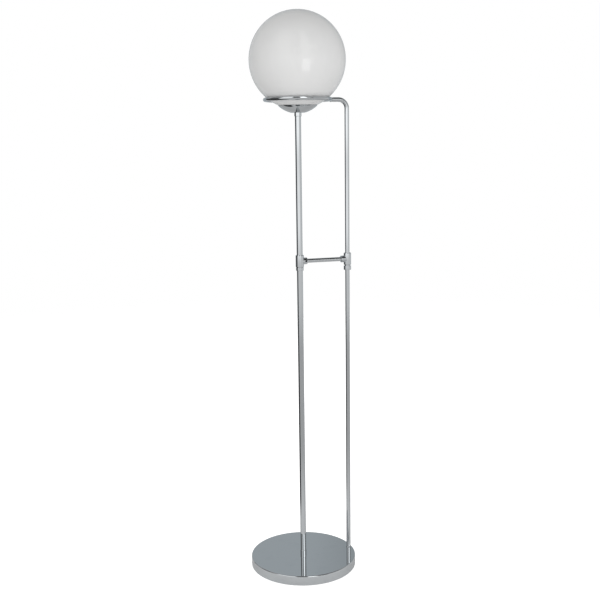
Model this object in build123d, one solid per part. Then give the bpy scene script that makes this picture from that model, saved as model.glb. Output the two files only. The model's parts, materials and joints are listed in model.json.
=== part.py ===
from build123d import *
import math
import os

# Globe floor lamp on two legs. Millimetres, +Z up, origin at the centre of the base's underside,
# +X from the main leg towards the side leg.

# Whole lamp
lamp_height = 1500
base_diameter = 290
base_height = 27
globe_diameter = 250
leg_edge_inset = 10  # from the side leg's axis to the base's edge
crossbar_height = 853.5

# Clearances
press_gap = 0.05  # between pieces that are pressed, screwed or brazed together, on the radius
turn_gap = 0.05  # between a turning piece and its bearing, on the radius
free_gap = 0.3  # between pieces of different bodies that don't bear on each other
cut_reach = 1  # of a cutting shape past the face that it cuts

# Base
skirt_lift = 1.0
cover_wall = 1.5
cover_edge_radius = 2.5
pad_height = 2.0
pad_edge_inset = 5
pad_width = 25
plate_thickness = 2.0
plate_side_gap = 0.2
weight_side_gap = 0.6
weight_rim_width = 15
weight_disc_thickness = 11.5
weight_web = 4.0
weight_well_diameter = 40
plate_screw_count = 4
plate_screw_start = 45  # degrees from +X
plate_screw_inset = 7.5
plate_screw_shank = 4.0
plate_screw_head = 7.5
plate_screw_length = 12
screw_socket = 2.5
hole_end_gap = 0.5

# Cable entry and wiring in the base
gland_height = 14.5
gland_diameter = 12
gland_bore = 7
gland_flange_diameter = 15
gland_flange = 2
gland_length = 17
gland_slot_gap = 1
gland_slot_overrun = 2.5
block_size = (30, 18)
block_rim_gap = 24
block_floor_gap = 0.5
block_pole_pitch = 10
block_corner_radius = 1.5
block_groove = (1.2, 1.2)  # width and depth
terminal_screw_diameter = 3.2
terminal_screw_length = 3.0
terminal_screw_sink = 0.5
terminal_slot = (0.6, 0.6)  # width and depth
block_screw_diameter = 3.0
block_screw_length = 11.5
block_screw_head = 5.4
block_screw_head_height = 1.6
block_screw_sink = 2.5
block_screw_socket = 1.6
earth_screw_place = (45, 60)
earth_screw_diameter = 4
earth_screw_head = 8
earth_screw_head_height = 2.6
earth_screw_length = 8
lead_diameter = 4.6
lead_floor_gap = 0.5

# Main leg
main_tube_diameter = 16
main_tube_wall = 1.5
foot_collar_wall = 0.825
foot_collar_height = 11
foot_collar_chamfer = 0.4
nipple_diameter = 10
nipple_bore = 8
nut_wall = 2  # across the flats
nut_reach = 0.5  # of the nipple past its nut
foot_nut_height = 3.5
foot_washer_diameter = 30
foot_washer_thickness = 1.5
bush_length = 20
ferrule_wall = 1.325
ferrule_height = 9.5
ferrule_web = 2.5
ferrule_chamfer = 0.8

# Side leg
side_tube_diameter = 12
side_tube_wall = 1.5
arm_bend_radius = 23
side_flange_width = 1.15
side_flange_thickness = 1.5
side_screw_diameter = 5
side_screw_head = 8.5
side_screw_head_height = 5
side_screw_length = 24
side_screw_socket = 4
side_screw_web = 7.5
side_washer_diameter = 10
side_washer_thickness = 1.0
side_well_gap = 0.5
arm_plug_length = 12
arm_bite = 1.5  # of the arm into the ring's bar

# Tees, crossbar and union nuts
tee_length = 33
tee_edge_chamfer = 2.0
main_barrel_wall = 3.0
side_barrel_wall = 4.0
branch_wall = 3.45
branch_reach = 9
branch_edge_chamfer = 0.8
branch_root_radius = 1.5
tube_seat_depth = 14
crossbar_diameter = 11
crossbar_wall = 1.5
crossbar_seat_depth = 10
joint_pin_length = 40
joint_pin_wall = 2.0
bead_thickness = 1.5
bead_inset = 0.2
union_floor = 1.5
main_spigot_wall = 1.0
main_spigot_length = 5.5
main_union_wall = 1.15
main_notch = 0.8
side_spigot_wall = 1.2
side_spigot_length = 9.9
side_union_wall = 2.75
side_notch = 2.4
union_chamfer = 0.6
pin_chamfer = 0.6
set_screw_diameter = 5
set_screw_socket = 2.5
set_screw_socket_depth = 1.8
set_screw_sink = 0.4
set_screw_chamfer = 0.3
set_screw_gap = 0.1

# Ring round the globe
ring_radius = 85
ring_bar_diameter = 10
ring_globe_gap = 1.2

# Cup and globe
cup_rim_margin = 13  # outside the globe's neck
cup_depth = 18
cup_wall = 1.2
cup_floor_radius = 18
cup_globe_gap = 1.25
globe_wall = 2.5
neck_bulb_gap = 5
neck_wall = 3.0
neck_seat_gap = 0.8
seat_ring_thickness = 2.0
seat_ring_gap = 0.1

# Spring clips that hold the neck from inside
clip_thickness = 0.8
clip_width = 8
clip_count = 3
clip_hub_radius = 11
clip_root = 3.0  # of each arm inside the hub
clip_foot_rise = 3.0
clip_top_rise = 12.0
clip_start = 60  # degrees from +X

# Lampholder
cup_nut_height = 3.5
holder_wall = 2.0
holder_floor_wall = 2.5
holder_edge_chamfer = 1.0
holder_cap_height = 18
holder_cap_foot_radius = 10
holder_cap_dome = 9
holder_cap_corner = (2, 4)  # across and up
holder_sleeve_height = 34
holder_thread_wall = 2.1
holder_overlap = 8
holder_ledge = 1.0
holder_ledge_radius = 12
insert_thickness = 12
shell_wall = 0.5
shell_height = 24
shell_space = 1.45
shell_lip_height = 7
shell_lip_slope = 2
contact_rise = 3.0
contact_width = 6
contact_thickness = 0.6
contact_reach = (-9, -5, -2.5, 3)  # along X: foot, bend, bend, tip
nipple_reach = 4.5
holder_screw_diameter = 3.5
holder_screw_length = 2.5
holder_screw_radius = 9
holder_screw_slot = (0.7, 0.7)  # width and depth

# Bulb
bulb_length = 108
bulb_diameter = 60
bulb_cap_diameter = 26.3
bulb_cap_height = 27
bulb_thread_depth = 1.0
bulb_thread_pitch = 3.6
bulb_thread_turns = 4
bulb_cap_wall = 0.6
bulb_tip_radius = 4.5
bulb_tip_height = 1.2
bulb_insulator_height = 5.0
bulb_insulator_plug = 2.0
bulb_body_height = 30
bulb_wall = 1.5
bulb_rim_step = 1.0
bulb_board_thickness = 1.6
bulb_board_gap = 1.3

# Levels and radii that follow
base_radius = base_diameter / 2
leg_spacing = base_radius - leg_edge_inset
globe_radius = globe_diameter / 2
globe_centre = lamp_height - globe_radius
cover_inner_radius = base_radius - cover_wall
plate_top = pad_height + plate_thickness
weight_radius = cover_inner_radius - weight_side_gap
weight_top = base_height - cover_wall
weight_recess_top = weight_top - weight_disc_thickness
weight_recess_radius = weight_radius - weight_rim_width
block_distance = weight_recess_radius - block_rim_gap - block_size[1] / 2
block_bottom = plate_top + block_floor_gap
block_depth = weight_recess_top - block_bottom
plate_screw_top = pad_height + plate_screw_length
web_underside = weight_top - weight_web
foot_nut_top = web_underside - foot_washer_thickness
nipple_bottom = foot_nut_top - foot_nut_height - nut_reach
thread_hole = nipple_diameter + 2 * press_gap

ring_bar_radius = ring_bar_diameter / 2
ring_reach = globe_radius + ring_globe_gap + ring_bar_radius
ring_height = globe_centre - math.sqrt(ring_reach**2 - ring_radius**2)
arm_end = ring_radius + ring_bar_radius - arm_bite

neck_inner_radius = bulb_diameter / 2 + neck_bulb_gap
neck_radius = neck_inner_radius + neck_wall
cup_rim_radius = neck_radius + cup_rim_margin
cup_rim_reach = globe_radius + cup_globe_gap
cup_rim_height = globe_centre - math.sqrt(cup_rim_reach**2 - cup_rim_radius**2)
cup_bottom = cup_rim_height - cup_depth
cup_inner_floor = cup_bottom + cup_wall
cup_centre_rise = (cup_rim_radius**2 - cup_floor_radius**2 + cup_depth**2) / (2 * cup_depth)
cup_curve_centre = cup_bottom + cup_centre_rise
cup_curve_radius = math.hypot(cup_floor_radius, cup_centre_rise)
cup_inner_radius = cup_curve_radius - cup_wall

clip_top = cup_inner_floor + clip_thickness
holder_floor = clip_top + cup_nut_height
holder_cap_top = holder_floor + holder_cap_height
holder_top = holder_cap_top + holder_sleeve_height
sleeve_bottom = holder_cap_top - holder_overlap
insert_bottom = sleeve_bottom + holder_ledge
insert_top = insert_bottom + insert_thickness
shell_inner_radius = bulb_cap_diameter / 2 + free_gap
shell_outer_radius = shell_inner_radius + shell_wall
sleeve_inner_radius = shell_outer_radius + shell_space
holder_thread_radius = sleeve_inner_radius + holder_thread_wall
holder_radius = holder_thread_radius + holder_wall
bulb_bottom = insert_top + contact_rise + free_gap
bulb_body_top = bulb_bottom + bulb_cap_height + bulb_body_height
bulb_root_radius = bulb_cap_diameter / 2 - bulb_thread_depth
bulb_core_radius = bulb_root_radius - bulb_cap_wall

main_tube_fit = main_tube_diameter + 2 * press_gap
side_tube_fit = side_tube_diameter + 2 * press_gap
side_screw_hole = side_screw_diameter + 2 * press_gap
main_barrel_diameter = main_tube_diameter + 2 * main_barrel_wall
side_barrel_diameter = side_tube_diameter + 2 * side_barrel_wall
crossbar_fit = crossbar_diameter + 2 * press_gap
branch_diameter = crossbar_fit + 2 * branch_wall
main_spigot_diameter = main_tube_diameter + 2 * main_spigot_wall
side_spigot_diameter = side_tube_diameter + 2 * side_spigot_wall
tee_bottom = crossbar_height - tee_length / 2
tube_seat = crossbar_height + tee_length / 2 - tube_seat_depth
main_spigot_bottom = tee_bottom - main_spigot_length
side_spigot_bottom = tee_bottom - side_spigot_length
main_bore = main_tube_diameter - 2 * main_tube_wall
side_bore = side_tube_diameter - 2 * side_tube_wall
joint_pin_diameter = main_bore - 2 * press_gap
side_pin_diameter = side_bore - 2 * press_gap


STANDING = (Align.CENTER, Align.CENTER, Align.MIN)


def round_bar(diameter, bottom, top):
    """Upright cylinder on the Z axis between two levels."""
    bar = Cylinder(diameter / 2, top - bottom, align=STANDING)
    return Pos(0, 0, bottom) * bar


def sleeve(outer_diameter, inner_diameter, bottom, top):
    """Upright tube on the Z axis between two levels."""
    bore = round_bar(inner_diameter, bottom - cut_reach, top + cut_reach)
    return round_bar(outer_diameter, bottom, top) - bore


def hexagon_bar(flats, bottom, top):
    """Upright hexagonal bar, measured across its flats."""
    outline = RegularPolygon(flats / 2, 6, major_radius=False)
    return Pos(0, 0, bottom) * extrude(outline, top - bottom)


def turned(outline):
    """Solid of revolution about Z from edges drawn as (radius, height)."""
    return revolve(Plane.XZ * make_face(outline), Axis.Z)


def turned_corners(*corners):
    """Solid of revolution about Z from the corners of its outline."""
    return turned(Polyline(*corners, close=True))


def below(centre, reach, radius):
    """Height of a sphere's lower half at a radius from the Z axis."""
    return centre - math.sqrt(reach**2 - radius**2)


def lower_arc(centre, reach, start, end):
    """Arc of a sphere's lower half, as (radius, height), from one radius to another."""
    radii = (start, (start + end) / 2, end)
    return ThreePointArc(*[(r, below(centre, reach, r)) for r in radii])


def around(count, radius, start=0):
    """Places on a circle about Z."""
    return [Rot(0, 0, start + 360 * i / count) * Pos(radius, 0, 0) for i in range(count)]


# Base


def base_cover():
    """Chromed disc with a rounded edge and a skirt, open underneath."""
    outer = round_bar(base_diameter, skirt_lift, base_height)
    outer = fillet(outer.edges().sort_by(Axis.Z)[-1], cover_edge_radius)
    inner = round_bar(2 * cover_inner_radius, 0, weight_top)
    inner = fillet(inner.edges().sort_by(Axis.Z)[-1], cover_edge_radius - cover_wall)
    hole_top = base_height + cut_reach
    main_hole = round_bar(thread_hole, 0, hole_top)
    side_hole = Pos(leg_spacing, 0, 0) * round_bar(side_screw_hole, 0, hole_top)
    near = cover_inner_radius - cut_reach
    gland_hole = gland_bar(gland_diameter + 2 * press_gap, near, base_radius + cut_reach)
    return outer - inner - main_hole - side_hole - gland_hole


def gland_bar(diameter, near, far):
    """Cylinder along +Y at the gland's height, between two distances from the Z axis."""
    return Pos(0, 0, gland_height) * Rot(-90, 0, 0) * round_bar(diameter, near, far)


def base_weight():
    """Cast disc with a deep rim, a wiring recess underneath and a slot for the cord."""
    disc = round_bar(2 * weight_radius, plate_top, weight_top)
    disc = chamfer(disc.edges().sort_by(Axis.Z)[-1], cover_edge_radius - cover_wall + weight_side_gap)
    disc -= round_bar(2 * weight_recess_radius, 0, weight_recess_top)
    disc -= round_bar(weight_well_diameter, 0, web_underside)
    disc -= round_bar(thread_hole, 0, base_height)
    slot_width = gland_flange_diameter + 2 * gland_slot_gap
    slot_length = 2 * (weight_rim_width + gland_slot_overrun)
    slot = Box(slot_width, slot_length, gland_height + slot_width / 2, align=STANDING)
    disc -= Pos(0, weight_radius, 0) * slot
    side_well = round_bar(side_washer_diameter + 2 * side_well_gap, 0, weight_top - side_screw_web)
    side_hole = round_bar(side_screw_hole, 0, base_height)
    disc -= Pos(leg_spacing, 0, 0) * (side_well + side_hole)
    for place in plate_screw_places():
        disc -= place * round_bar(plate_screw_shank + 2 * press_gap, 0, plate_screw_top + hole_end_gap)
    block_screw_reach = block_screw_length + block_screw_sink - block_depth
    disc -= fixing_hole((0, block_distance), block_screw_diameter, block_screw_reach)
    disc -= fixing_hole(earth_screw_place, earth_screw_diameter, earth_screw_length)
    return disc


def fixing_hole(place, diameter, depth):
    """Tapped hole up into the weight's disc from its recess."""
    hole = round_bar(diameter + 2 * press_gap, 0, weight_recess_top + depth + hole_end_gap)
    return Pos(*place, 0) * hole


def plate_screw_places():
    return around(plate_screw_count, weight_radius - plate_screw_inset, plate_screw_start)


def countersunk_screw():
    """Screw with its head's face at the plate's underside, pointing up."""
    head_radius = plate_screw_head / 2
    shank_radius = plate_screw_shank / 2
    head_depth = head_radius - shank_radius
    screw = turned_corners(
        (0, pad_height),
        (head_radius, pad_height),
        (shank_radius, pad_height + head_depth),
        (shank_radius, plate_screw_top),
        (0, plate_screw_top),
    )
    return screw - hexagon_bar(screw_socket, 0, pad_height + head_depth)


def base_plate_screws():
    return Compound(children=[place * countersunk_screw() for place in plate_screw_places()])


def base_plate():
    """Sheet steel disc that closes the base."""
    plate = round_bar(2 * (cover_inner_radius - plate_side_gap), pad_height, plate_top)
    head_radius = plate_screw_head / 2 + press_gap
    shank_radius = plate_screw_shank / 2 + press_gap
    sink = turned_corners(
        (0, pad_height),
        (head_radius, pad_height),
        (shank_radius, pad_height + head_radius - shank_radius),
        (shank_radius, plate_top + cut_reach),
        (0, plate_top + cut_reach),
    )
    for place in plate_screw_places():
        plate -= place * sink
    return plate


def foot_pad():
    outer_radius = base_radius - pad_edge_inset
    return sleeve(2 * outer_radius, 2 * (outer_radius - pad_width), 0, pad_height)


def cable_gland():
    """Bush in the skirt with its flange inside, flush with the skirt's face."""
    face = math.sqrt(base_radius**2 - (gland_diameter / 2) ** 2)
    flange_face = math.sqrt(cover_inner_radius**2 - (gland_flange_diameter / 2) ** 2) - press_gap
    bush = gland_bar(gland_diameter, face - gland_length, face)
    bush += gland_bar(gland_flange_diameter, flange_face - gland_flange, flange_face)
    return bush - gland_bar(gland_bore, face - gland_length - cut_reach, face + cut_reach)


def terminal_places():
    """Two screws for each pole, over the block's underside."""
    poles = (-block_pole_pitch, 0, block_pole_pitch)
    rows = (-block_size[1] / 4, block_size[1] / 4)
    return [Pos(x, block_distance + y, 0) for x in poles for y in rows]


def terminal_block():
    """Block of three poles, screwed to the underside of the weight's disc."""
    block = Box(*block_size, block_depth, align=STANDING)
    block = fillet(block.edges().filter_by(Axis.Z), block_corner_radius)
    block = Pos(0, block_distance, block_bottom) * block
    well = round_bar(terminal_screw_diameter + 2 * press_gap, 0, block_bottom + terminal_screw_length)
    for place in terminal_places():
        block -= place * well
    groove_width, groove_depth = block_groove
    groove = Box(groove_width, block_size[1] + 2 * cut_reach, 2 * groove_depth)
    for x in (-block_pole_pitch / 2, block_pole_pitch / 2):
        block -= Pos(x, block_distance, block_bottom) * groove
    hole = round_bar(block_screw_diameter + 2 * press_gap, 0, base_height)
    hole += round_bar(block_screw_head + 2 * free_gap, 0, block_bottom + block_screw_sink)
    block -= Pos(0, block_distance, 0) * hole
    return block


def terminal_screws():
    """Slotted screws, sunk in the block's wells."""
    bottom = block_bottom + terminal_screw_sink
    screw = round_bar(terminal_screw_diameter, bottom, block_bottom + terminal_screw_length)
    screw -= screw_slot(terminal_screw_diameter, terminal_slot, bottom)
    return Compound(children=[place * screw for place in terminal_places()])


def screw_slot(diameter, slot, bottom):
    """Cut for a screwdriver, up from the lower end of a screw."""
    width, depth = slot
    return Pos(0, 0, bottom) * Box(diameter + 2 * cut_reach, width, 2 * depth)


def headed_screw(head_diameter, head_height, shank_diameter, shank_length, socket):
    """Screw pointing up, with its head's bearing face at z = 0."""
    screw = round_bar(head_diameter, -head_height, 0) + round_bar(shank_diameter, 0, shank_length)
    return screw - hexagon_bar(socket, -head_height - cut_reach, -head_height / 2)


def block_screw():
    screw = headed_screw(
        block_screw_head,
        block_screw_head_height,
        block_screw_diameter,
        block_screw_length,
        block_screw_socket,
    )
    return Pos(0, block_distance, block_bottom + block_screw_sink) * screw


def earth_screw():
    screw = headed_screw(
        earth_screw_head, earth_screw_head_height, earth_screw_diameter, earth_screw_length, screw_socket
    )
    return Pos(*earth_screw_place, weight_recess_top) * screw


def inner_lead():
    """Lead from the terminal block along the base and up the main leg to the lampholder."""
    run_height = plate_top + lead_diameter / 2 + lead_floor_gap
    bend = nipple_bottom - run_height
    block_face = block_distance - block_size[1] / 2
    start = (0, block_face, run_height)
    route = FilletPolyline(start, (0, 0, run_height), (0, 0, insert_bottom), radius=bend)
    section = Plane(origin=start, z_dir=(0, -1, 0)) * Circle(lead_diameter / 2)
    return sweep(section, path=route)


# Main leg


def threaded_nut(height):
    """Hexagonal nut on the lamp thread, from z = 0 up."""
    flats = nipple_diameter + 2 * nut_wall
    return hexagon_bar(flats, 0, height) - round_bar(thread_hole, -cut_reach, height + cut_reach)


def beaded_tube(diameter, bore, spigot_diameter, top):
    """Lower half of a leg, from the base to its tee's spigot, ending in a bead for the union nut."""
    tube = round_bar(diameter, base_height, top)
    tube += round_bar(spigot_diameter - 2 * bead_inset, top - bead_thickness, top)
    return tube - round_bar(bore, 0, top + cut_reach)


def lower_main_tube():
    """Tube from the base to the main tee, with an upset bead at its top."""
    return beaded_tube(main_tube_diameter, main_bore, main_spigot_diameter, main_spigot_bottom)


def upper_main_tube():
    return sleeve(main_tube_diameter, main_bore, tube_seat, cup_bottom - ferrule_web)


def tube_bush(bottom):
    """Bush with the lamp thread, pressed into the end of the main tube."""
    return sleeve(joint_pin_diameter, thread_hole, bottom, bottom + bush_length)


def foot_collar():
    """Thin collar round the tube, standing on the base."""
    top = base_height + foot_collar_height
    collar = round_bar(main_tube_fit + 2 * foot_collar_wall, base_height, top)
    collar = chamfer(collar.edges().sort_by(Axis.Z)[-1], foot_collar_chamfer)
    return collar - round_bar(main_tube_fit, 0, top + cut_reach)


def foot_nipple():
    return sleeve(nipple_diameter, nipple_bore, nipple_bottom, base_height + bush_length)


def foot_washer():
    return sleeve(foot_washer_diameter, thread_hole, foot_nut_top, web_underside)


def foot_nut():
    return Pos(0, 0, foot_nut_top - foot_nut_height) * threaded_nut(foot_nut_height)


def top_ferrule():
    """Turned cap on the tube's top end, under the cup."""
    ferrule = round_bar(main_tube_fit + 2 * ferrule_wall, cup_bottom - ferrule_height, cup_bottom)
    ferrule = chamfer(ferrule.edges().sort_by(Axis.Z)[0], ferrule_chamfer)
    ferrule -= round_bar(main_tube_fit, 0, cup_bottom - ferrule_web)
    return ferrule - round_bar(thread_hole, 0, cup_bottom + cut_reach)


def holder_nipple():
    return sleeve(nipple_diameter, nipple_bore, cup_bottom - bush_length, holder_floor + nipple_reach)


# Tees, crossbar and union nuts


def tee(barrel_diameter, tube_diameter, bore_diameter, spigot_diameter, spigot_length):
    """Cast tee with its crossbar branch along +X and its threaded spigot below, centred at z = 0."""
    half = tee_length / 2
    barrel = round_bar(barrel_diameter, -half, half)
    barrel = chamfer(barrel.edges().filter_by(GeomType.CIRCLE), tee_edge_chamfer, tee_edge_chamfer / 2)
    reach = barrel_diameter / 2 + branch_reach
    branch = round_bar(branch_diameter, 0, reach)
    branch = Rot(0, 90, 0) * chamfer(branch.edges().sort_by(Axis.Z)[-1], branch_edge_chamfer)
    body = barrel + branch
    root = body.edges().filter_by(GeomType.BSPLINE)
    body = fillet(root, branch_root_radius)
    body += round_bar(spigot_diameter, -half - spigot_length, -half)
    body -= round_bar(bore_diameter, -half - spigot_length - cut_reach, half + cut_reach)
    body -= round_bar(tube_diameter + 2 * press_gap, half - tube_seat_depth, half + cut_reach)
    socket = round_bar(crossbar_fit, reach - crossbar_seat_depth, reach + cut_reach)
    return body - Rot(0, 90, 0) * socket


def set_screw_place():
    """The set screw's axis: out of the main tee's branch, along -Y."""
    return Pos(main_barrel_diameter / 2 + branch_reach / 2, 0, crossbar_height) * Rot(90, 0, 0)


def main_tee():
    body = tee(
        main_barrel_diameter, main_tube_diameter, main_bore, main_spigot_diameter, main_spigot_length
    )
    hole = round_bar(set_screw_diameter + 2 * turn_gap, 0, branch_diameter)
    return Pos(0, 0, crossbar_height) * body - set_screw_place() * hole


def side_tee():
    body = tee(
        side_barrel_diameter, side_tube_diameter, side_bore, side_spigot_diameter, side_spigot_length
    )
    return Pos(leg_spacing, 0, crossbar_height) * Rot(0, 0, 180) * body


def tee_set_screw():
    """Socket set screw that bears on the crossbar."""
    inner = crossbar_diameter / 2 + set_screw_gap
    outer = branch_diameter / 2 - set_screw_sink
    screw = round_bar(set_screw_diameter, inner, outer)
    screw = chamfer(screw.edges().sort_by(Axis.Z)[-1], set_screw_chamfer)
    screw -= hexagon_bar(set_screw_socket, outer - set_screw_socket_depth, outer + cut_reach)
    return set_screw_place() * screw


def crossbar():
    start = main_barrel_diameter / 2 + branch_reach - crossbar_seat_depth
    end = leg_spacing - side_barrel_diameter / 2 - branch_reach + crossbar_seat_depth
    bar = sleeve(crossbar_diameter, crossbar_diameter - 2 * crossbar_wall, start, end)
    return Pos(0, 0, crossbar_height) * Rot(0, 90, 0) * bar


def union_nut(wall, notch, tube_diameter, spigot_diameter, spigot_bottom):
    """Nut that draws the lower tube's bead up against the tee's spigot."""
    top = tee_bottom - notch
    shoulder = spigot_bottom - bead_thickness - free_gap
    bore = spigot_diameter + 2 * turn_gap
    nut = round_bar(bore + 2 * wall, shoulder - union_floor, top)
    nut = chamfer(nut.edges().filter_by(GeomType.CIRCLE), union_chamfer)
    nut -= round_bar(bore, shoulder, top + cut_reach)
    return nut - round_bar(tube_diameter + 2 * free_gap, 0, top + cut_reach)


def main_union_nut():
    return union_nut(
        main_union_wall, main_notch, main_tube_diameter, main_spigot_diameter, main_spigot_bottom
    )


def side_union_nut():
    nut = union_nut(
        side_union_wall, side_notch, side_tube_diameter, side_spigot_diameter, side_spigot_bottom
    )
    return Pos(leg_spacing, 0, 0) * nut


def main_joint_sleeve():
    """Sleeve that lines up the two halves of the main leg and lets the lead through."""
    bore = joint_pin_diameter - 2 * joint_pin_wall
    half = joint_pin_length / 2
    return sleeve(joint_pin_diameter, bore, main_spigot_bottom - half, main_spigot_bottom + half)


def side_joint_dowel():
    half = joint_pin_length / 2
    dowel = round_bar(side_pin_diameter, side_spigot_bottom - half, side_spigot_bottom + half)
    return Pos(leg_spacing, 0, 0) * chamfer(dowel.edges().filter_by(GeomType.CIRCLE), pin_chamfer)


# Side leg, arm and ring


def lower_side_rod():
    """Tube from the base to the side tee, with an upset bead at its top."""
    tube = beaded_tube(side_tube_diameter, side_bore, side_spigot_diameter, side_spigot_bottom)
    return Pos(leg_spacing, 0, 0) * tube


def upper_side_rod():
    """Tube from the side tee up and over to the ring, with its end coped to the ring's bar."""
    route = FilletPolyline(
        (leg_spacing, 0, tube_seat),
        (leg_spacing, 0, ring_height),
        (arm_end, 0, ring_height),
        radius=arm_bend_radius,
    )
    foot = Plane((leg_spacing, 0, tube_seat))
    outside = sweep(foot * Circle(side_tube_diameter / 2), path=route)
    inside = sweep(foot * Circle(side_bore / 2), path=route)
    return outside - inside - globe_ring()


def arm_end_plug():
    """Plug that closes the arm's end, welded to the ring with it."""
    plug = round_bar(side_pin_diameter, arm_end, arm_end + arm_plug_length)
    return Pos(0, 0, ring_height) * Rot(0, 90, 0) * plug - globe_ring()


def globe_ring():
    return Pos(0, 0, ring_height) * Torus(ring_radius, ring_bar_radius)


def side_foot_flange():
    """Flat ring round the side leg, standing on the base."""
    top = base_height + side_flange_thickness
    flange = sleeve(side_tube_fit + 2 * side_flange_width, side_tube_fit, base_height, top)
    return Pos(leg_spacing, 0, 0) * flange


def side_foot_bush():
    bush = sleeve(side_pin_diameter, side_screw_hole, base_height, base_height + bush_length)
    return Pos(leg_spacing, 0, 0) * bush


def side_foot_washer():
    top = weight_top - side_screw_web
    washer = sleeve(side_washer_diameter, side_screw_hole, top - side_washer_thickness, top)
    return Pos(leg_spacing, 0, 0) * washer


def side_foot_screw():
    screw = headed_screw(
        side_screw_head, side_screw_head_height, side_screw_diameter, side_screw_length, side_screw_socket
    )
    seat = weight_top - side_screw_web - side_washer_thickness
    return Pos(leg_spacing, 0, seat) * screw


# Cup, clips and globe


def gallery_cup():
    """Shallow spun bowl under the globe, with a flat floor and an even wall."""
    floor_inner = math.sqrt(cup_inner_radius**2 - (cup_curve_centre - cup_inner_floor) ** 2)
    rim_cos = (cup_curve_centre - cup_rim_height) / cup_curve_radius
    rim_inner = cup_inner_radius * math.sqrt(1 - rim_cos**2)
    outer = lower_arc(cup_curve_centre, cup_curve_radius, cup_floor_radius, cup_rim_radius)
    inner = lower_arc(cup_curve_centre, cup_inner_radius, rim_inner, floor_inner)
    hole_radius = thread_hole / 2
    outline = (
        Line((hole_radius, cup_bottom), outer @ 0)
        + outer
        + Line(outer @ 1, inner @ 0)
        + inner
        + Polyline(inner @ 1, (hole_radius, cup_inner_floor), (hole_radius, cup_bottom))
    )
    return turned(outline)


def globe_seat_ring():
    """Round rubber ring, set where the gap between cup and globe is as wide as the ring and its gaps."""
    bead = seat_ring_thickness / 2
    to_globe = globe_radius + free_gap + bead
    to_cup = cup_inner_radius - seat_ring_gap - bead
    apart = cup_curve_centre - globe_centre
    height = (to_globe**2 - to_cup**2 - globe_centre**2 + cup_curve_centre**2) / (2 * apart)
    radius = math.sqrt(to_cup**2 - (height - cup_curve_centre) ** 2)
    return Pos(0, 0, height) * Torus(radius, bead)


def globe():
    """Blown glass sphere with a short straight neck that sits inside the cup."""
    lip = below(cup_curve_centre, cup_inner_radius, neck_radius) + neck_seat_gap
    inner_radius = globe_radius - globe_wall
    shoulder = (neck_radius, below(globe_centre, globe_radius, neck_radius))
    throat = (neck_inner_radius, below(globe_centre, inner_radius, neck_inner_radius))
    outer = ThreePointArc((0, lamp_height), (globe_radius, globe_centre), shoulder)
    inner = ThreePointArc(throat, (inner_radius, globe_centre), (0, lamp_height - globe_wall))
    outline = (
        outer
        + Polyline(shoulder, (neck_radius, lip), (neck_inner_radius, lip), throat)
        + inner
        + Line((0, lamp_height - globe_wall), (0, lamp_height))
    )
    return turned(outline)


def globe_clips():
    """Spring steel star: a hub under the nut and arms that bear on the inside of the neck."""
    hub = round_bar(2 * clip_hub_radius, cup_inner_floor, clip_top)
    middle = cup_inner_floor + clip_thickness / 2
    reach = neck_inner_radius - free_gap - clip_thickness / 2
    foot = below(cup_curve_centre, cup_inner_radius, reach) + clip_foot_rise
    path = Polyline(
        (clip_hub_radius - clip_root, middle),
        (clip_hub_radius, middle),
        (reach, foot),
        (reach, foot + clip_top_rise),
    )
    profile = Plane.XZ * trace(path, line_width=clip_thickness)
    arm = extrude(profile, clip_width / 2, both=True)
    star = hub
    for place in around(clip_count, 0, clip_start):
        star += place * arm
    return star - round_bar(thread_hole, cup_bottom, holder_floor)


# Lampholder


def cup_nut():
    return Pos(0, 0, clip_top) * threaded_nut(cup_nut_height)


def holder_cap():
    """Domed lower half of the lampholder, screwed on the nipple."""
    inner = holder_radius - holder_wall
    dome_top = holder_floor + holder_cap_dome
    across, up = holder_cap_corner
    floor_top = holder_floor + holder_floor_wall
    hole = thread_hole / 2
    return turned_corners(
        (hole, holder_floor),
        (holder_cap_foot_radius, holder_floor),
        (holder_radius - across, dome_top - up),
        (holder_radius, dome_top),
        (holder_radius, holder_cap_top),
        (inner, holder_cap_top),
        (inner, dome_top + holder_edge_chamfer),
        (inner - across, dome_top - up + holder_edge_chamfer),
        (holder_cap_foot_radius - holder_edge_chamfer, floor_top),
        (hole, floor_top),
    )


def holder_sleeve():
    """Upper half of the lampholder, which screws into the cap and holds the insert."""
    thread = holder_thread_radius - press_gap
    lip = shell_outer_radius + press_gap
    lip_bottom = holder_top - shell_lip_height
    return turned_corners(
        (holder_ledge_radius, sleeve_bottom),
        (thread, sleeve_bottom),
        (thread, holder_cap_top),
        (holder_radius, holder_cap_top),
        (holder_radius, holder_top - holder_edge_chamfer),
        (holder_radius - holder_edge_chamfer, holder_top),
        (lip, holder_top),
        (lip, lip_bottom),
        (sleeve_inner_radius, lip_bottom - shell_lip_slope),
        (sleeve_inner_radius, insert_bottom),
        (holder_ledge_radius, insert_bottom),
    )


def holder_insert():
    """Ceramic block that carries the contacts."""
    block = round_bar(2 * (sleeve_inner_radius - press_gap), insert_bottom, insert_top)
    hole = round_bar(holder_screw_diameter + 2 * press_gap, 0, insert_bottom + holder_screw_length)
    for place in holder_screw_places():
        block -= place * hole
    return block


def holder_screw_places():
    return around(2, holder_screw_radius)


def holder_terminal_screws():
    screw = round_bar(holder_screw_diameter, insert_bottom, insert_bottom + holder_screw_length)
    screw -= screw_slot(holder_screw_diameter, holder_screw_slot, insert_bottom)
    return Compound(children=[place * screw for place in holder_screw_places()])


def thread_shell():
    """Brass shell that takes the bulb's cap."""
    return sleeve(2 * shell_outer_radius, 2 * shell_inner_radius, insert_top, insert_top + shell_height)


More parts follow.
